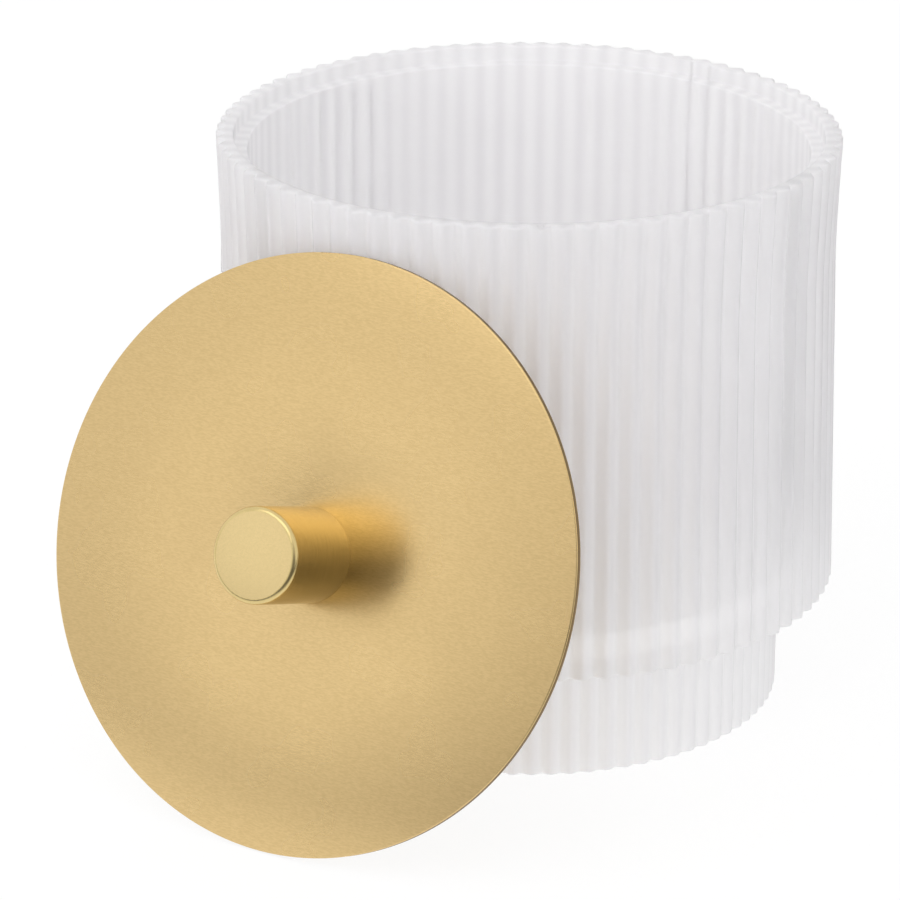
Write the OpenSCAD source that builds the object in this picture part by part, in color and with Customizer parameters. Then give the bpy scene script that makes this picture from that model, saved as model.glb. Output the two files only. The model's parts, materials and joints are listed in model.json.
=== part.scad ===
// Cotton jar of frosted glass with a reeded wall on a narrower reeded foot.
// Its flat brass lid is off and leans against the front left of the wall.
// The jar stands on z = 0 with its axis on Z, and its front faces -Y.

/* [Jar] */
// Height of the jar from the underside of the foot to the rim
jar_h = 94.2; // [84:0.1:130]
// Diameter over the ribs at the rim
rim_d = 100; // [80:0.1:130]
// How far the wall stands in at the waist, where it is narrowest, from the rim
waist_in = 0.6; // [0:0.05:3]
// How far the wall stands out at the lower edge of the body from the rim
hip_out = 0.45; // [0:0.05:3]
// Height of the outward flare between the waist and the rim
flare_h = 19.2; // [8:0.1:30]
// Width of the bevels that take the sharpness off the rim and the ledge
glass_bevel = 0.3; // [0.1:0.05:0.5]

/* [Ribs] */
// Number of ribs round the jar
rib_count = 84; // [48:1:100]
// Depth of the grooves between the ribs of the body
rib_depth = 1.15; // [0.4:0.05:1.3]
// Depth of the grooves between the ribs of the foot
foot_rib_depth = 0.6; // [0.2:0.05:1.2]
// Angle of the first rib from the X axis
rib_turn = 2; // [0:0.1:4]

/* [Foot] */
// Height of the foot
foot_h = 20; // [8:0.1:30]
// How far the foot stands in from the lower edge of the body
foot_in = 8.75; // [4:0.05:15]

/* [Inside] */
// Thickness of the rim round the rebate, over the ribs
rim_wall = 2.85; // [2:0.05:5]
// Thickness of glass between the underside of the body and the floor inside
floor_t = 4.2; // [3:0.1:12]
// Depth of the rebate that the lid drops into
rebate_depth = 2.6; // [1.6:0.1:6]
// Width of the ledge that carries the lid
ledge_w = 2.2; // [1:0.1:5]
// Radius where the wall meets the floor inside
floor_round = 4; // [1:0.1:10]

/* [Lid plate] */
// Thickness of the lid plate
lid_t = 1.2; // [1:0.1:2]
// Gap all round between the lid plate and the rebate
lid_gap = 1; // [0.3:0.05:1.2]
// Bevel on the edges of the lid plate
lid_bevel = 0.2; // [0.05:0.05:0.3]

/* [Knob] */
// Diameter of the knob
knob_d = 14.8; // [10:0.1:25]
// Height of the knob above the lid plate
knob_h = 16; // [12:0.1:30]
// Radius on the outer edge of the knob
knob_round = 0.8; // [0.2:0.05:2]

/* [Knob screw] */
// Diameter of the screw that holds the knob
screw_d = 4; // [3:0.1:5]
// Length of screw inside the knob
screw_grip = 8; // [4:0.1:9]
// Diameter of the screw head
screw_head_d = 8; // [6.5:0.1:9.5]
// Height of the screw head
screw_head_h = 2.4; // [1.6:0.1:3.5]
// Width of the slots of the cross in the screw head
cross_w = 0.9; // [0.5:0.05:1.2]
// Length of the slots of the cross in the screw head
cross_l = 4.2; // [3:0.1:5]
// Depth of the cross in the screw head
cross_depth = 1.2; // [0.6:0.05:1.3]
// Clearance of the screw in the hole of the lid plate
plate_hole_gap = 0.2; // [0.1:0.05:0.4]
// Clearance between the screw and the tapped hole in the knob
thread_gap = 0.05; // [0.02:0.01:0.1]
// Depth of the tapped hole beyond the end of the screw
hole_spare = 1.5; // [0.5:0.1:2.5]

/* [Resting place of the lid] */
// Angle by which the lid leans back from upright
lid_lean = 19.1; // [8:0.1:40]
// Angle round the jar from the front to the lid, towards the left
lid_side = 30; // [-180:1:180]
// Gap between the upper edge of the lid and the ribs it leans on
lean_gap = 0.05; // [0:0.01:0.3]

/* [Hidden] */

// Facets of each round, and flat steps across each rib and up the flare
$fn = 144;
rib_steps = 6;
flare_steps = 3;
arc_steps = 6;

// How far a cut reaches past the surface it opens
cut_over = 1;

// Exponent of the flare: the wall leaves the waist gently and opens towards the rim
flare_power = 1.5;

rim_r = rim_d / 2;
waist_r = rim_r - waist_in;
hip_r = rim_r + hip_out;
foot_r = hip_r - foot_in;
waist_z = jar_h - flare_h;
rebate_r = rim_r - rim_wall;
ledge_z = jar_h - rebate_depth;
inside_r = rebate_r - ledge_w;
inside_z = foot_h + floor_t;

lid_r = rebate_r - lid_gap;
knob_r = knob_d / 2;
screw_r = screw_d / 2;

// Crest radius of the wall at height z: a straight taper up to the waist, then the flare
function wall_r(z) = z < waist_z
    ? hip_r + (waist_r - hip_r) * (z - foot_h) / (waist_z - foot_h)
    : waist_r + (rim_r - waist_r) * pow((z - waist_z) / flare_h, flare_power);

// Points of one ring of ribs at height z, with crests at radius r and grooves of the
// given depth. Each rib is an arc through its crest and the grooves on both sides.
function rib_ring(z, r, depth) =
    let (
        half = 180 / rib_count,
        groove_x = (r - depth) * cos(half),
        groove_y = (r - depth) * sin(half),
        rise = r - groove_x,
        round_r = (groove_y * groove_y + rise * rise) / (2 * rise),
        middle = r - round_r,
        swing = atan2(groove_y, groove_x - middle)
    )
    [for (rib = [0 : rib_count - 1], step = [0 : rib_steps - 1])
        let (
            a = rib_turn + rib * 2 * half,
            t = a + swing * (2 * step / rib_steps - 1)
        )
        [middle * cos(a) + round_r * cos(t), middle * sin(a) + round_r * sin(t), z]];

// Heights, crest radii and groove depths of the rings, from the foot to the rim
flare_z = [for (i = [0 : flare_steps])
    waist_z + (jar_h - glass_bevel - waist_z) * i / flare_steps];
levels = concat(
    [[0, foot_r, foot_rib_depth], [foot_h, foot_r, foot_rib_depth]],
    [[foot_h, hip_r, rib_depth]],
    [for (z = flare_z) [z, wall_r(z), rib_depth]],
    [[jar_h, rim_r - glass_bevel, rib_depth]]
);

// Arc of a corner in a profile, about centre c, from angle a0 to angle a1
function corner(c, r, a0, a1) =
    [for (i = [0 : arc_steps])
        let (a = a0 + (a1 - a0) * i / arc_steps)
        [c[0] + r * cos(a), c[1] + r * sin(a)]];

// Solid with the reeded outside of the jar, lofted through the rings of ribs. The two
// ends are fans round a middle point, because the outline dips at each groove.
module reeded_solid() {
    n = rib_count * rib_steps;
    top = (len(levels) - 1) * n;
    low_middle = top + n;
    high_middle = low_middle + 1;
    points = concat(
        [for (level = levels, p = rib_ring(level[0], level[1], level[2])) p],
        [[0, 0, 0], [0, 0, jar_h]]
    );
    underside = [for (i = [0 : n - 1]) [low_middle, i, (i + 1) % n]];
    rim = [for (i = [0 : n - 1]) [high_middle, top + (i + 1) % n, top + i]];
    walls = [for (ring = [0 : len(levels) - 2], i = [0 : n - 1], half = [0, 1])
        let (
            a = ring * n + i,
            b = ring * n + (i + 1) % n
        )
        half == 0 ? [a, a + n, b] : [b, a + n, b + n]];
    polyhedron(points = points, faces = concat(underside, rim, walls));
}

// Hollow of the jar: round-cornered inside, ledge and rebate
module hollow() {
    rotate_extrude()
        polygon(concat(
            [[0, inside_z]],
            corner([inside_r - floor_round, inside_z + floor_round], floor_round, -90, 0),
            [[inside_r, ledge_z - glass_bevel],
             [inside_r + glass_bevel, ledge_z],
             [rebate_r, ledge_z],
             [rebate_r, jar_h - glass_bevel],
             [rebate_r + glass_bevel + cut_over, jar_h + cut_over],
             [0, jar_h + cut_over]]
        ));
}

// One moulded piece of glass: solid foot, reeded wall, open mouth
module jar() {
    color("gainsboro")
        difference() {
            reeded_solid();
            hollow();
        }
}

// Height and distance of the middle of the lid's back. The lid stands on the widest
// part of its edge. The upper edge of its back meets the ribs, or where the lid is
// taller than the jar its back meets the rim.
back_edge_r = lid_r - lid_bevel;
lid_mid_z = lid_r * cos(lid_lean) - lid_bevel * sin(lid_lean);
lid_top_z = lid_mid_z + back_edge_r * cos(lid_lean);
touch_z = min(lid_top_z, jar_h - glass_bevel);
lid_mid_y = wall_r(touch_z) + lean_gap + (touch_z - lid_mid_z) * tan(lid_lean);

// Puts a lid that is drawn flat, with its knob up, into its leaning place
module leaned() {
    rotate([0, 0, -lid_side])
        translate([0, -lid_mid_y, lid_mid_z])
            rotate([90 - lid_lean, 0, 0])
                children();
}

// Flat disc with bevelled edges and a hole for the screw
module lid_plate() {
    color("goldenrod")
        leaned()
            difference() {
                rotate_extrude()
                    polygon([
                        [0, 0],
                        [back_edge_r, 0],
                        [lid_r, lid_bevel],
                        [lid_r, lid_t - lid_bevel],
                        [back_edge_r, lid_t],
                        [0, lid_t]
                    ]);
                translate([0, 0, -cut_over])
                    cylinder(h = lid_t + 2 * cut_over, r = screw_r + plate_hole_gap);
            }
}

// Turned bar with a rounded outer edge and a tapped hole in its base
module knob() {
    color("goldenrod")
        leaned()
            translate([0, 0, lid_t])
                difference() {
                    rotate_extrude()
                        polygon(concat(
                            [[0, 0], [knob_r, 0]],
                            corner([knob_r - knob_round, knob_h - knob_round], knob_round, 0, 90),
                            [[0, knob_h]]
                        ));
                    translate([0, 0, -cut_over])
                        cylinder(h = screw_grip + hole_spare + cut_over, r = screw_r + thread_gap);
                }
}

// Pan head screw from the back of the plate into the knob
module knob_screw() {
    head_round = screw_head_h / 2;
    color("silver")
        leaned()
            difference() {
                rotate_extrude()
                    polygon(concat(
                        [[0, lid_t + screw_grip], [0, -screw_head_h]],
                        corner([screw_head_d / 2 - head_round, head_round - screw_head_h],
                            head_round, -90, 0),
                        [[screw_head_d / 2, 0], [screw_r, 0], [screw_r, lid_t + screw_grip]]
                    ));
                for (turn = [0, 90])
                    rotate([0, 0, turn])
                        translate([-cross_l / 2, -cross_w / 2, -screw_head_h - cut_over])
                            cube([cross_l, cross_w, cross_depth + cut_over]);
            }
}

jar();
lid_plate();
knob();
knob_screw();
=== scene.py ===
# %% [markdown]
# # A cotton jar of frosted reeded glass with a brass lid
#
# The real object is a small jar for cotton pads. One piece of pressed glass makes a solid
# foot and a wall of close upright ribs, which glassmakers call reeds. The glass is frosted,
# so it glows softly and shows only shadows of what is behind it. A flat disc of brushed
# brass with a plain knob is the lid. It is off, and leans against the jar.
#
# The solid model is loaded first as a fixed frame. Each piece here is then made in the
# same place and size, only finer, and gets the finish of the real one.

# %% Load the fixed frame
import json
from math import cos, pi, radians, sin, sqrt

import bmesh
import bpy
from mathutils import Matrix, Vector

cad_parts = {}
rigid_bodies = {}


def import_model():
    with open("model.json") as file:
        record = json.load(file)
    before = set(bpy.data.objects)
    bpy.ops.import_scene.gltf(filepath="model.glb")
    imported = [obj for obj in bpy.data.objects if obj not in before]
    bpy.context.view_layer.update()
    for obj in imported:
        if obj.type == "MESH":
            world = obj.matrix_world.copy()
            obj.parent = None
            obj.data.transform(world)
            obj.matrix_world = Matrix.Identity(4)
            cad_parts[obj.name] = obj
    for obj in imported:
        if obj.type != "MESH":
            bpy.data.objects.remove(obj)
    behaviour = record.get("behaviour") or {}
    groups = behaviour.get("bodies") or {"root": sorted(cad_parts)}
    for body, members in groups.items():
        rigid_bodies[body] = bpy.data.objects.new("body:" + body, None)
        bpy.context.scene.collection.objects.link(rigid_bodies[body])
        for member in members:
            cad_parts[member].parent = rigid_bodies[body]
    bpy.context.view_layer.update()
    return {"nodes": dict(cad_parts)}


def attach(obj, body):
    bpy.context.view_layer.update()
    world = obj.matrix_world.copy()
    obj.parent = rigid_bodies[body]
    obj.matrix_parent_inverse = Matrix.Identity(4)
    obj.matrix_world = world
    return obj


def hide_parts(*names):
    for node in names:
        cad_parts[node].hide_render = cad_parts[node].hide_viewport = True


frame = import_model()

MM = 0.001
print("nodes in the frame:", sorted(frame["nodes"]))

# %% [markdown]
# ## The camera
#
# A picture taken from about three quarters of a metre through a long lens looks nearly
# flat, so the far side of the rim is almost as wide as the near side. A short lens close
# by would bulge the jar. The place, the three angles and the focal length below are the
# ones at which circles of the jar's own sizes fall on the rim, foot and lid of the picture.

# %% Place the camera
PIXELS = 900
SENSOR = 36
FOCAL_PIXELS = 4750.4
NEAREST, FARTHEST = 0.01, 100
EYE = Vector((0, -725.3, 320.2)) * MM
YAW, PITCH, ROLL = radians(-0.983), radians(21.176), radians(0.22)

look = Vector((sin(YAW) * cos(PITCH), cos(YAW) * cos(PITCH), -sin(PITCH)))
across = look.cross(Vector((0, 0, 1))).normalized()
upward = across.cross(look)
right = cos(ROLL) * across + sin(ROLL) * upward
up = -sin(ROLL) * across + cos(ROLL) * upward

lens = bpy.data.cameras.new("camera")
lens.sensor_width = SENSOR
lens.lens = FOCAL_PIXELS / PIXELS * SENSOR
lens.clip_start, lens.clip_end = NEAREST, FARTHEST
camera = bpy.data.objects.new("camera", lens)
camera.matrix_world = Matrix.Translation(EYE) @ Matrix((right, up, -look)).transposed().to_4x4()
bpy.context.scene.collection.objects.link(camera)
bpy.context.scene.camera = camera
print("lens", round(lens.lens, 1), "mm")

# %% [markdown]
# ## Helpers for modelling by hand
#
# In edit mode a tool acts on whatever is selected. With a mouse you would click; in code
# you say which points, edges or faces you mean by where they are. These helpers deselect
# everything first, so that nothing is moved by accident.

# %% Helpers that select
def deselect():
    for thing in bpy.context.view_layer.objects:
        thing.select_set(False)


def new_piece(name):
    """Names the primitive that was just added, and makes it the only one selected."""
    piece = bpy.context.object
    deselect()
    piece.select_set(True)
    piece.name = piece.data.name = name
    return piece


def pick(piece, kind, test):
    """In edit mode, selects the points, edges or faces of a piece that pass a test."""
    bpy.context.tool_settings.mesh_select_mode = (kind == "VERT", kind == "EDGE", kind == "FACE")
    form = bmesh.from_edit_mesh(piece.data)
    for group in (form.verts, form.edges, form.faces):
        for item in group:
            item.select = False
    group = {"VERT": form.verts, "EDGE": form.edges, "FACE": form.faces}[kind]
    chosen = [item for item in group if test(item)]
    for item in chosen:
        item.select = True
    form.select_flush_mode()
    bmesh.update_edit_mesh(piece.data)
    return len(chosen)


# %% A helper that finishes a shape
DOUBLES = 0.0005


def finish_shape(piece, smooth_angle):
    """Merges doubles, points every face outwards and smooths the shading."""
    bpy.ops.object.mode_set(mode="EDIT")
    bpy.ops.mesh.select_all(action="SELECT")
    bpy.ops.mesh.remove_doubles(threshold=DOUBLES * MM)
    bpy.ops.mesh.normals_make_consistent(inside=False)
    bpy.ops.object.mode_set(mode="OBJECT")
    bpy.ops.object.shade_smooth_by_angle(angle=radians(smooth_angle))
    size = [round(s / MM, 1) for s in piece.dimensions]
    print(piece.name, size, "mm,", len(piece.data.polygons), "faces")


# %% [markdown]
# ## The jar
#
# The outside is a row of 84 round ribs. One could sweep a rib and copy it 84 times, but
# then the grooves would need joining. Here one ring of points is drawn, its points are
# pulled in between the crests to make the ribs, and the ring is extruded again and again:
# up the foot, out under the body, up the wall, over the rim, down the inside and in to the
# middle of the floor. So the whole jar is one skin.

# %% The jar's sizes
RIBS, RIB_STEPS = 84, 16
RIB_TURN = 2
FOOT_R, FOOT_H, FOOT_REED = 41.7, 20, 0.6
HIP_R, WAIST_R, RIM_R, BODY_REED = 50.45, 49.4, 50, 1.15
JAR_H, FLARE_H, FLARE_POWER = 94.2, 19.2, 1.5
REBATE_R, REBATE_DEPTH = 47.15, 2.6
INSIDE_R, FLOOR_Z, FLOOR_ROUND = 44.95, 24.2, 4

# %% [markdown]
# A rib of the solid model is an arc that meets the next one in a sharp groove. Pressed
# glass fills no sharp groove, and the frosting rounds it further: seen against the light,
# the rim is nearly a wave. So each point lies between the arc and a wave of the same
# depth, most of the way towards the wave.

# %% The shape of a rib
WAVE_SHARE = 0.8


def rib_share(step, crest, reed):
    """Radius of the point at a step from the crest, as a share of the crest's radius."""
    if not reed:
        return 1
    half = pi / RIBS
    groove_x, groove_y = (crest - reed) * cos(half), (crest - reed) * sin(half)
    rise = crest - groove_x
    rib_r = (groove_y ** 2 + rise ** 2) / (2 * rise)
    middle = crest - rib_r
    turn = half * step * 2 / RIB_STEPS
    arc = middle * cos(turn) + sqrt(max(0, rib_r ** 2 - (middle * sin(turn)) ** 2))
    wave = crest - reed * (1 - cos(2 * pi * step / RIB_STEPS)) / 2
    return (arc + WAVE_SHARE * (wave - arc)) / crest


print("groove at", round(HIP_R * rib_share(RIB_STEPS / 2, HIP_R, BODY_REED), 2), "mm")

# %% Draw the first ring, on the underside of the foot
points = RIBS * RIB_STEPS
spacing = 360 / points
start_turn = (RIB_TURN - 90) % spacing
bpy.ops.mesh.primitive_circle_add(
    vertices=points, radius=FOOT_R * MM, fill_type="NOTHING",
    location=(0, 0, 0), rotation=(0, 0, radians(start_turn)),
)
jar = new_piece("jar_glass")
bpy.ops.object.transform_apply(rotation=True)
bpy.ops.object.mode_set(mode="EDIT")
bpy.ops.mesh.select_all(action="SELECT")
ring = {"r": FOOT_R, "z": 0, "reed": 0}
print("a ring of", points, "points")

# %% Steps that shape and extrude a ring
def crest_step(point):
    """How many steps a point of a ring lies from the nearest crest."""
    angle = (Vector((1, 0)).angle_signed(point.co.xy) * -180 / pi - RIB_TURN) % 360
    step = round(angle / spacing) % RIB_STEPS
    return min(step, RIB_STEPS - step)


def reshape(crest, reed):
    """Gives the selected ring its crest radius and the depth of its grooves."""
    form = bmesh.from_edit_mesh(jar.data)
    steps = {point.index: crest_step(point) for point in form.verts if point.select}
    for step in range(RIB_STEPS // 2 + 1):
        old = ring["r"] * rib_share(step, ring["r"], ring["reed"])
        factor = crest * rib_share(step, crest, reed) / old
        pick(jar, "VERT", lambda point: steps.get(point.index) == step)
        bpy.ops.transform.resize(value=(factor, factor, 1), center_override=(0, 0, 0))
    pick(jar, "VERT", lambda point: point.index in steps)
    ring.update(r=crest, reed=reed)


def extrude(crest, z, reed=None):
    """Extrudes the selected ring to a new height and crest radius."""
    move = {"value": (0, 0, (z - ring["z"]) * MM)}
    bpy.ops.mesh.extrude_region_move(TRANSFORM_OT_translate=move)
    ring["z"] = z
    if reed is None:
        factor = crest / ring["r"]
        bpy.ops.transform.resize(value=(factor, factor, 1), center_override=(0, 0, 0))
        ring["r"] = crest
    else:
        reshape(crest, reed)


def extrude_round(middle_r, middle_z, radius, start, end, count):
    """Extrudes the ring round an edge, about a middle, from one angle to another."""
    for i in range(1, count + 1):
        angle = radians(start + (end - start) * i / count)
        extrude(middle_r + radius * cos(angle), middle_z + radius * sin(angle))


# %% Foot and underside of the body
FOOT_ROUND, HIP_ROUND, NECK_ROUND = 0.5, 0.35, 0.25
reshape(FOOT_R - FOOT_ROUND, FOOT_REED)
extrude_round(FOOT_R - FOOT_ROUND, FOOT_ROUND, FOOT_ROUND, -90, 0, 4)
extrude(FOOT_R, FOOT_H - NECK_ROUND)
extrude_round(FOOT_R + NECK_ROUND, FOOT_H - NECK_ROUND, NECK_ROUND, 180, 90, 3)
extrude(HIP_R - HIP_ROUND, FOOT_H, BODY_REED)
extrude_round(HIP_R - HIP_ROUND, FOOT_H + HIP_ROUND, HIP_ROUND, -90, 0, 5)
print("the foot and the body's lower edge end at", round(ring["z"], 2), "mm")

# %% Wall, flare and rim
WALL_RINGS, FLARE_RINGS = 4, 8
RIM_ROUND = 0.45
waist_z = JAR_H - FLARE_H
start_z = ring["z"]
for i in range(1, WALL_RINGS + 1):
    z = start_z + (waist_z - start_z) * i / WALL_RINGS
    extrude(HIP_R + (WAIST_R - HIP_R) * (z - FOOT_H) / (waist_z - FOOT_H), z)
for i in range(1, FLARE_RINGS + 1):
    z = waist_z + (FLARE_H - RIM_ROUND) * i / FLARE_RINGS
    extrude(WAIST_R + (RIM_R - WAIST_R) * ((z - waist_z) / FLARE_H) ** FLARE_POWER, z)
rim_edge = ring["r"]
extrude_round(rim_edge - RIM_ROUND, JAR_H - RIM_ROUND, RIM_ROUND, 0, 90, 5)
print("the rim is", round(2 * rim_edge, 1), "mm across and", JAR_H, "mm high")

# %% Rebate, ledge and inside
LIP_ROUND, LEDGE_ROUND = 0.4, 0.3
ledge_z = JAR_H - REBATE_DEPTH
extrude(REBATE_R + LIP_ROUND, JAR_H, 0)
extrude_round(REBATE_R + LIP_ROUND, JAR_H - LIP_ROUND, LIP_ROUND, 90, 180, 4)
extrude(REBATE_R, ledge_z + LEDGE_ROUND)
extrude_round(REBATE_R - LEDGE_ROUND, ledge_z + LEDGE_ROUND, LEDGE_ROUND, 0, -90, 3)
extrude(INSIDE_R + LEDGE_ROUND, ledge_z)
extrude_round(INSIDE_R + LEDGE_ROUND, ledge_z - LEDGE_ROUND, LEDGE_ROUND, 90, 180, 4)
extrude(INSIDE_R, FLOOR_Z + FLOOR_ROUND)
extrude_round(INSIDE_R - FLOOR_ROUND, FLOOR_Z + FLOOR_ROUND, FLOOR_ROUND, 0, -90, 8)
print("the ledge is at", round(ledge_z, 1), "mm and the floor inside at", FLOOR_Z, "mm")

# %% Close the floor and the underside, each with a ring and a middle point
CLOSING_R = 20
extrude(CLOSING_R, FLOOR_Z)
bpy.ops.mesh.extrude_region_move()
bpy.ops.mesh.merge(type="CENTER")
underside = pick(jar, "VERT", lambda point: abs(point.co.z) < 0.001 * MM)
ring.update(r=FOOT_R - FOOT_ROUND, z=0, reed=FOOT_REED)
extrude(CLOSING_R, 0, 0)
bpy.ops.mesh.extrude_region_move()
bpy.ops.mesh.merge(type="CENTER")
bpy.ops.object.mode_set(mode="OBJECT")
print("the underside is closed from", underside, "points")

# %% [markdown]
# The real jar has a chip at the front of its rim, less than a millimetre wide. A few
# faces of the flat rim are inset, squeezed together and pushed down into the glass.

# %% Chip the rim at the front
CHIP_X, CHIP_Y = 1.9, -48.7
CHIP_HALF, CHIP_REACH = 0.36, 0.6
CHIP_BORDER, CHIP_SQUEEZE, CHIP_DEPTH = 0.05, 0.25, 0.6
chip = Vector((CHIP_X, CHIP_Y, JAR_H)) * MM


def at_the_chip(face):
    """A face of the flat top of the rim, close to the chip."""
    middle = face.calc_center_median()
    flat = abs(face.normal.z) > 0.99
    near = (middle - chip).length < CHIP_REACH * MM
    return flat and near and abs(middle.x - chip.x) < CHIP_HALF * MM


bpy.ops.object.mode_set(mode="EDIT")
print(pick(jar, "FACE", at_the_chip), "faces of the rim make the chip")
bpy.ops.mesh.inset(thickness=CHIP_BORDER * MM)
bpy.ops.transform.resize(value=(1, CHIP_SQUEEZE, 1), center_override=chip)
bpy.ops.transform.translate(value=(0, 0, -CHIP_DEPTH * MM))
bpy.ops.object.mode_set(mode="OBJECT")
SMOOTH_GLASS = 62
finish_shape(jar, SMOOTH_GLASS)

# %% [markdown]
# ## The lid: plate, knob and screw
#
# The plate is a disc cut from sheet brass, so its edge is square with only a touch of a
# bevel, and a hole in its middle takes the screw of the knob. The knob is turned from
# round bar. Both are drawn lying flat, where they are easy to measure, and then put in
# their leaning place, which is applied to the mesh so that the object itself stays put.
# The screw stays as the solid model has it, because it hides behind the plate.

# %% The lid's sizes and its leaning place
LID_R, LID_T, LID_BEVEL = 46.15, 1.2, 0.2
LID_LEAN, LID_SIDE, LEAN_GAP = radians(19.1), radians(30), 0.05

back_edge_r = LID_R - LID_BEVEL
lid_mid_z = LID_R * cos(LID_LEAN) - LID_BEVEL * sin(LID_LEAN)
lid_top_z = lid_mid_z + back_edge_r * cos(LID_LEAN)
flare_share = (lid_top_z - waist_z) / FLARE_H
wall_at_top = WAIST_R + (RIM_R - WAIST_R) * flare_share ** FLARE_POWER
lid_mid_y = wall_at_top + LEAN_GAP + back_edge_r * sin(LID_LEAN)
leaning = (
    Matrix.Rotation(-LID_SIDE, 4, "Z")
    @ Matrix.Translation(Vector((0, -lid_mid_y, lid_mid_z)) * MM)
    @ Matrix.Rotation(pi / 2 - LID_LEAN, 4, "X")
)
face_on = (leaning.to_3x3() @ Vector((0, 0, 1))).normalized()
print("the lid's back is centred at", [round(c / MM, 2) for c in leaning.translation])


def lean(piece):
    """Puts a piece that was drawn flat in its leaning place, in its mesh."""
    deselect()
    piece.select_set(True)
    bpy.context.view_layer.objects.active = piece
    piece.matrix_world = leaning
    bpy.ops.object.transform_apply(location=True, rotation=True, scale=True)


# %% Lid plate: a disc with a hole, and a bevel all round its edges
PLATE_POINTS, HOLE_R = 288, 2.2
SMOOTH_BRASS = 40
bpy.ops.mesh.primitive_cylinder_add(
    vertices=PLATE_POINTS, radius=LID_R * MM, depth=LID_T * MM,
    location=(0, 0, LID_T / 2 * MM),
)
plate = new_piece("lid_disc")
bpy.ops.object.transform_apply(location=True)
bpy.ops.object.mode_set(mode="EDIT")
pick(plate, "FACE", lambda face: abs(face.normal.z) > 0.9)
bpy.ops.mesh.inset(thickness=(LID_R - HOLE_R) * MM, use_even_offset=True)
pick(plate, "FACE", lambda face: abs(face.normal.z) > 0.9 and len(face.verts) > 4)
bpy.ops.mesh.delete(type="FACE")
hole = (HOLE_R + 1) * MM
pick(plate, "EDGE", lambda edge: edge.is_boundary and edge.verts[0].co.xy.length < hole)
bpy.ops.mesh.bridge_edge_loops()
bpy.ops.object.mode_set(mode="OBJECT")
bevel = plate.modifiers.new("edges", "BEVEL")
bevel.width, bevel.segments, bevel.limit_method = LID_BEVEL * MM, 3, "ANGLE"
bpy.ops.object.modifier_apply(modifier=bevel.name)
finish_shape(plate, SMOOTH_BRASS)
lean(plate)

# %% Knob: a round bar with a rounded end, and a hole for the screw in the other
KNOB_R, KNOB_H, KNOB_ROUND, KNOB_POINTS = 7.4, 16, 0.8, 192
TAP_R, TAP_DEPTH = 2.05, 9.5
bpy.ops.mesh.primitive_cylinder_add(
    vertices=KNOB_POINTS, radius=KNOB_R * MM, depth=KNOB_H * MM,
    location=(0, 0, (LID_T + KNOB_H / 2) * MM),
)
knob = new_piece("lid_knob")
bpy.ops.object.transform_apply(location=True)
bpy.ops.object.mode_set(mode="EDIT")
outer_end = (LID_T + KNOB_H) * MM
pick(knob, "EDGE", lambda edge: all(abs(v.co.z - outer_end) < 0.01 * MM for v in edge.verts))
bpy.ops.mesh.bevel(offset=KNOB_ROUND * MM, segments=8, affect="EDGES")
pick(knob, "FACE", lambda face: face.normal.z < -0.9)
bpy.ops.mesh.inset(thickness=(KNOB_R - TAP_R) * MM, use_even_offset=True)
bpy.ops.mesh.extrude_region_move(TRANSFORM_OT_translate={"value": (0, 0, TAP_DEPTH * MM)})
bpy.ops.object.mode_set(mode="OBJECT")
finish_shape(knob, SMOOTH_BRASS)
lean(knob)

# %% [markdown]
# ## Finishes
#
# A finish is a small network of nodes. Noise patterns that follow the object's own
# coordinates make the grain, and they stay in place when the object is seen from another
# side. Numbers that are the same everywhere are typed on the shader itself.

# %% Helpers that make a material
def new_material(name):
    """A material with its shader, and the object's coordinates for its patterns."""
    material = bpy.data.materials.new(name)
    material.use_nodes = True
    tree = material.node_tree
    shader = tree.nodes["Principled BSDF"]
    place = tree.nodes.new("ShaderNodeTexCoord").outputs["Object"]
    return material, tree, shader, place


def dress(piece, *materials):
    """Gives a piece its materials, the first of which covers it."""
    piece.data.materials.clear()
    for material in materials:
        piece.data.materials.append(material)


def second_finish(piece, test):
    """Gives the faces that pass a test the piece's second material."""
    chosen = [face for face in piece.data.polygons if test(face)]
    for face in chosen:
        face.material_index = 1
    print(len(chosen), "faces of", piece.name, "have the second finish")


# %% Helpers that add one node
def ramp(tree, value, low, high, out_low, out_high):
    """Turns one range of numbers into another."""
    node = tree.nodes.new("ShaderNodeMapRange")
    tree.links.new(value, node.inputs["Value"])
    numbers = {"From Min": low, "From Max": high, "To Min": out_low, "To Max": out_high}
    for name, number in numbers.items():
        node.inputs[name].default_value = number
    return node.outputs["Result"]


def noise(tree, place, scale, detail):
    """Soft random blots, finer at a greater scale."""
    node = tree.nodes.new("ShaderNodeTexNoise")
    tree.links.new(place, node.inputs["Vector"])
    node.inputs["Scale"].default_value = scale
    node.inputs["Detail"].default_value = detail
    return node.outputs["Fac"]


def combine(tree, kind, first, second):
    """One sum on two values, or on a value and a number."""
    node = tree.nodes.new("ShaderNodeMath")
    node.operation = kind
    for socket, value in zip(node.inputs, (first, second)):
        if isinstance(value, (int, float)):
            socket.default_value = value
        else:
            tree.links.new(value, socket)
    return node.outputs["Value"]


def parts_of(tree, place):
    """The three numbers of a place or direction."""
    node = tree.nodes.new("ShaderNodeSeparateXYZ")
    tree.links.new(place, node.inputs["Vector"])
    return node.outputs["X"], node.outputs["Y"], node.outputs["Z"]


# %% Helpers that lead the shader by patterns
def two_tone(tree, value, dark, light):
    """A colour between two near tones, led by a pattern."""
    node = tree.nodes.new("ShaderNodeMix")
    node.data_type = "RGBA"
    tree.links.new(value, node.inputs["Factor"])
    node.inputs["A"].default_value = (*dark, 1)
    node.inputs["B"].default_value = (*light, 1)
    return node.outputs["Result"]


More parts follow.
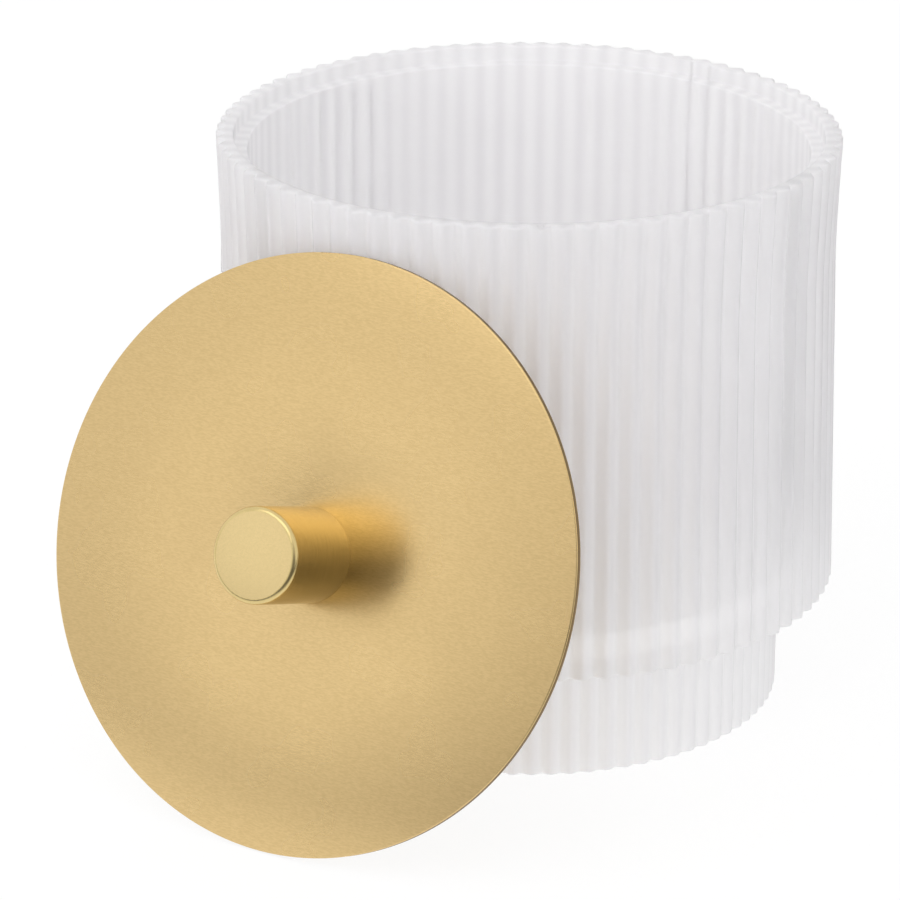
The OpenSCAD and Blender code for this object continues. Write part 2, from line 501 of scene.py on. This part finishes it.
def bump(tree, height, strength, distance):
    """Tiny hills and dents that only the light feels, as deep as the distance in mm."""
    node = tree.nodes.new("ShaderNodeBump")
    tree.links.new(height, node.inputs["Height"])
    node.inputs["Strength"].default_value = strength
    node.inputs["Distance"].default_value = distance * MM
    return node.outputs["Normal"]


def finish(tree, shader, tone, tones, dull, dullness, relief, strength, distance):
    """Three patterns on a shader: its tone, how dull it is, and its relief."""
    tree.links.new(two_tone(tree, tone, *tones), shader.inputs["Base Color"])
    tree.links.new(ramp(tree, dull, 0.3, 0.7, *dullness), shader.inputs["Roughness"])
    tree.links.new(bump(tree, relief, strength, distance), shader.inputs["Normal"])


# %% [markdown]
# ### Frosted glass
#
# Acid or a fine blast takes the polish off glass and leaves a skin of tiny pits. Light
# still goes through, but it is scattered, so the far ribs show only as soft stripes, and
# the thick foot looks milky. One could model the pits, but they are far too small. Here one
# shader is partly rough clear glass, and for the rest a milky body in which light wanders
# for a few millimetres. The clear share grows from the solid foot up into the thin wall.
# The glass bends light only a little, since a strong bend would draw hard stripes. Painted
# shade follows the ribs: the colour is a little darker on their thick crests than in the grooves.

# %% Find the ribs in the pattern's coordinates
def rib_wave(tree, place):
    """One on the crests of the ribs and nothing in the grooves, all round the jar."""
    x, y, _ = parts_of(tree, place)
    turn = combine(tree, "ADD", combine(tree, "ARCTAN2", y, x), -radians(RIB_TURN))
    swing = combine(tree, "COSINE", combine(tree, "MULTIPLY", turn, RIBS), 0)
    return ramp(tree, swing, -1, 1, 0, 1)


# %% Make the frosted glass
GLASS_DARK, GLASS_LIGHT = (0.85, 0.84, 0.855), (0.975, 0.965, 0.975)
GLASS_DULL = (0.52, 0.58)
FOOT_CLEAR, WALL_CLEAR, CLEARING_H = 0.2, 0.5, 25
GLASS_BEND = 1.09
MILK, MILK_REACH = 0.6, 3
PAINTED_RIB_SHADE, HAZE_TONE = 0.6, 0.4

glass, tree, shader, place = new_material("frosted_glass")
_, _, height = parts_of(tree, place)
clearing = (FLOOR_Z * MM, (FLOOR_Z + CLEARING_H) * MM)
clear = ramp(tree, height, *clearing, FOOT_CLEAR, WALL_CLEAR)
tree.links.new(clear, shader.inputs["Transmission Weight"])
shader.inputs["IOR"].default_value = GLASS_BEND
shader.inputs["Subsurface Weight"].default_value = MILK
shader.inputs["Subsurface Radius"].default_value = (1, 1, 1)
shader.inputs["Subsurface Scale"].default_value = MILK_REACH * MM
haze = noise(tree, place, 60, 2)
# painted shade: the tone is darker on the rib crests and lighter in the grooves
groove = combine(tree, "ADD", combine(tree, "MULTIPLY", rib_wave(tree, place), -PAINTED_RIB_SHADE), PAINTED_RIB_SHADE)
tone = combine(tree, "ADD", groove, combine(tree, "MULTIPLY", haze, HAZE_TONE))
pits = noise(tree, place, 4000, 2)
finish(tree, shader, tone, (GLASS_DARK, GLASS_LIGHT), haze, GLASS_DULL, pits, 0.1, 0.02)
dress(jar, glass)
print("frosted glass, clear by", FOOT_CLEAR, "in the foot and", WALL_CLEAR, "in the wall")

# %% [markdown]
# ### Brass
#
# The plate and the knob are the same lacquered brass, worked in different ways. The clear
# lacquer lays a little soft white over the metal.
#
# The sheet was brushed along one direction, so it carries very fine lines that run across
# the plate. The knob was turned, so its lines run round it, and its end was faced until
# it was nearly plain. Each is a noise pattern, stretched the way the tool went. A Mapping
# node turns the pattern into the plane of the leaning lid.

# %% Helpers for brass
def lacquer(shader):
    """Metal under a thin clear coat."""
    shader.inputs["Metallic"].default_value = 1
    shader.inputs["Coat Weight"].default_value = 0.3
    shader.inputs["Coat Roughness"].default_value = 0.3


def lid_place(tree, place, stretch):
    """Coordinates that lie in the leaning lid, stretched along its axes."""
    node = tree.nodes.new("ShaderNodeMapping")
    node.vector_type = "TEXTURE"
    node.inputs["Location"].default_value = leaning.translation
    node.inputs["Rotation"].default_value = leaning.to_euler()
    node.inputs["Scale"].default_value = stretch
    tree.links.new(place, node.inputs["Vector"])
    return node.outputs["Vector"]


# %% Make the brushed brass of the plate
BRASS_DARK, BRASS_LIGHT = (0.69, 0.495, 0.225), (0.77, 0.56, 0.265)
brushed, tree, shader, place = new_material("brushed_brass")
lacquer(shader)
lines = noise(tree, lid_place(tree, place, (4, 1, 1)), 5500, 3)
clouds = noise(tree, place, 90, 2)
streaks = ramp(tree, lines, 0.35, 0.65, 0, 1)
finish(
    tree, shader, streaks, (BRASS_DARK, BRASS_LIGHT), clouds, (0.26, 0.30),
    lines, 0.25, 0.02,
)
print("brushed brass from", BRASS_DARK, "to", BRASS_LIGHT)

# %% [markdown]
# The cut edge of the sheet was never brushed, so it is dull. It is given a very dark brass,
# a painted shade that draws a thin brown line round the plate. The steel of the screw is made
# in the same way, only bright.

# %% Make the two plain metals, and dress the plate and the screw
# painted shade: the cut edge gets a very dark brass, far darker than the plate
EDGE_SHADE_DARK, EDGE_SHADE_LIGHT = (0.16, 0.10, 0.035), (0.26, 0.17, 0.065)
STEEL_DARK, STEEL_LIGHT = (0.55, 0.55, 0.56), (0.62, 0.62, 0.62)


def plain_metal(name, tones, dullness, strength):
    """Bare metal with small marks all over."""
    material, tree, shader, place = new_material(name)
    shader.inputs["Metallic"].default_value = 1
    marks = noise(tree, place, 3000, 3)
    finish(tree, shader, marks, tones, marks, dullness, marks, strength, 0.02)
    return material


painted_edge_shade = plain_metal("edge_brass_painted_shade", (EDGE_SHADE_DARK, EDGE_SHADE_LIGHT), (0.40, 0.50), 0.2)
dress(plate, brushed, painted_edge_shade)
second_finish(plate, lambda face: abs(face.normal.dot(face_on)) < 0.2)
steel = plain_metal("bright_steel", (STEEL_DARK, STEEL_LIGHT), (0.22, 0.32), 0.1)
dress(frame["nodes"]["knob_screw"], steel)

# %% Make the turned and the faced brass, and dress the knob
TURNED_DARK, TURNED_LIGHT = (0.70, 0.545, 0.235), (0.78, 0.61, 0.275)
FACED_DARK, FACED_LIGHT = (0.72, 0.55, 0.26), (0.78, 0.60, 0.29)


def turned_brass(name, stretch, strength, tones):
    """Lacquered brass with the fine lines of a lathe."""
    material, tree, shader, place = new_material(name)
    lacquer(shader)
    lines = noise(tree, lid_place(tree, place, stretch), 4500, 3)
    streaks = ramp(tree, lines, 0.35, 0.65, 0, 1)
    finish(tree, shader, streaks, tones, lines, (0.22, 0.27), lines, strength, 0.04)
    return material


side = turned_brass("turned_brass", (12, 12, 1), 1.0, (TURNED_DARK, TURNED_LIGHT))
end = turned_brass("faced_brass", (1, 1, 1), 0.1, (FACED_DARK, FACED_LIGHT))
dress(knob, side, end)
second_finish(knob, lambda face: face.normal.dot(face_on) > 0.999)

# %% [markdown]
# ## Floor, room and light
#
# The picture was taken in a white studio: a white floor that runs up into a white wall,
# and large soft lamps. A lit white floor would need so much light that the jar burns out.
# So the floor is matt paper under an even white glow, and the paper's share keeps a faint
# shadow. A Light Path node tells the rays apart. Light that spreads on to the glass sees
# more of the paper. Rays that brass mirrors find the floor dark at the front, as the
# studio was, and that gives the knob its brown shade.

# %% Helpers for what each kind of ray sees
def white_node(tree, kind, grey=1):
    """A plain shader with one grey."""
    node = tree.nodes.new(kind)
    node.inputs["Color"].default_value = (grey, grey, grey, 1)
    return node


def rays_that_see(tree, kinds):
    """One for rays of the named kinds, and nothing for the others."""
    rays = tree.nodes.new("ShaderNodeLightPath")
    share = rays.outputs["Is " + kinds[0] + " Ray"]
    for kind in kinds[1:]:
        share = combine(tree, "MAXIMUM", share, rays.outputs["Is " + kind + " Ray"])
    return share


def mix_shaders(tree, share, first, second, target):
    """Goes from the first shader to the second as the share grows."""
    node = tree.nodes.new("ShaderNodeMixShader")
    tree.links.new(share, node.inputs["Fac"])
    tree.links.new(first.outputs[0], node.inputs[1])
    tree.links.new(second.outputs[0], node.inputs[2])
    tree.links.new(node.outputs[0], target)


# %% Floor
FLOOR_SIZE = 20
FLOOR_GLOW, FLOOR_BOUNCE, FLOOR_WHITE, FLOOR_GREY = 0.85, 0.6, 1.04, 0.9
DARK_FROM, DARK_TO = -0.12, -0.22
bpy.ops.mesh.primitive_plane_add(size=FLOOR_SIZE, location=(0, 0, 0))
floor = new_piece("studio_floor")
paper = bpy.data.materials.new("white_paper")
paper.use_nodes = True
tree = paper.node_tree
tree.nodes.remove(tree.nodes["Principled BSDF"])
matt = white_node(tree, "ShaderNodeBsdfDiffuse", FLOOR_GREY)
glow = white_node(tree, "ShaderNodeEmission")
_, y, _ = parts_of(tree, tree.nodes.new("ShaderNodeTexCoord").outputs["Object"])
mirrored = ramp(tree, y, DARK_TO, DARK_FROM, 0, FLOOR_WHITE)
others = rays_that_see(tree, ["Camera", "Transmission", "Diffuse"])
even = combine(tree, "MULTIPLY", others, FLOOR_WHITE)
tree.links.new(combine(tree, "MAXIMUM", mirrored, even), glow.inputs["Strength"])
sight = rays_that_see(tree, ["Camera", "Glossy", "Transmission"])
share = ramp(tree, sight, 0, 1, FLOOR_BOUNCE, FLOOR_GLOW)
mix_shaders(tree, share, matt, glow, tree.nodes["Material Output"].inputs["Surface"])
dress(floor, paper)
print("floor", FLOOR_SIZE, "m wide")

# %% [markdown]
# The room is white all round, but the side where the camera stands is darker, as in any
# studio, and the brass mirrors that. The glass takes its soft light mostly from the front
# and the left, so that its right side is a little darker. Whatever is seen straight on or
# through the glass is plain white.

# %% Room
ROOM_LEVEL, FRONT_LEVEL, FRONT_FROM = 0.92, 0.12, -0.72
SOFT_LEVEL, RIGHT_SHARE = 0.96, 0.6
NEAR_SHARE, FAR_SHARE = 1.6, 0.83
world = bpy.data.worlds.new("white_room")
bpy.context.scene.world = world
world.use_nodes = True
tree = world.node_tree
room = tree.nodes["Background"]
room.inputs["Color"].default_value = (1, 1, 1, 1)
x, y, _ = parts_of(tree, tree.nodes.new("ShaderNodeTexCoord").outputs["Generated"])
mirrored = ramp(tree, y, -1, FRONT_FROM, FRONT_LEVEL, ROOM_LEVEL)
from_side = ramp(tree, x, -0.2, 0.9, SOFT_LEVEL, RIGHT_SHARE * SOFT_LEVEL)
from_front = ramp(tree, y, -1, 0.2, NEAR_SHARE, FAR_SHARE)
level = tree.nodes.new("ShaderNodeMix")
tree.links.new(rays_that_see(tree, ["Diffuse"]), level.inputs["Factor"])
tree.links.new(mirrored, level.inputs["A"])
tree.links.new(combine(tree, "MULTIPLY", from_side, from_front), level.inputs["B"])
tree.links.new(level.outputs["Result"], room.inputs["Strength"])
white = white_node(tree, "ShaderNodeBackground")
seen = rays_that_see(tree, ["Camera", "Transmission"])
mix_shaders(tree, seen, room, white, tree.nodes["World Output"].inputs["Surface"])
print("room level", ROOM_LEVEL, "and", FRONT_LEVEL, "at the front")

# %% [markdown]
# One large lamp high on the left throws the knob's soft shadow down to the right. A small
# weak one at the left is mirrored in the plate and lifts its middle.

# %% Lamps
def softbox(name, place, aim, width, height, power):
    """A soft lamp that faces a point."""
    lamp = bpy.data.lights.new(name, "AREA")
    lamp.shape, lamp.size, lamp.size_y, lamp.energy = "RECTANGLE", width, height, power
    holder = bpy.data.objects.new(name, lamp)
    holder.location = place
    holder.rotation_euler = (Vector(aim) - Vector(place)).to_track_quat("-Z", "Y").to_euler()
    bpy.context.scene.collection.objects.link(holder)
    print(name, width, "by", height, "m,", power, "W")


softbox("lamp_high", (-0.52, -0.62, 0.95), (0, 0, 0.05), 0.9, 0.7, 1.7)
softbox("lamp_side", (-0.80, -0.50, 0.22), (-0.04, -0.06, 0.045), 0.25, 0.25, 0.045)

bpy.context.scene.view_settings.view_transform = "Standard"

# %% [markdown]
# ## Join the pieces to the frame
#
# Each new piece moves with the frame's one body, and stands for a solid of the frame, which
# is hidden.

# %% Join the pieces to the frame
for piece, node in ((jar, "jar"), (plate, "lid_plate"), (knob, "knob")):
    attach(piece, "root")
    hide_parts(node)
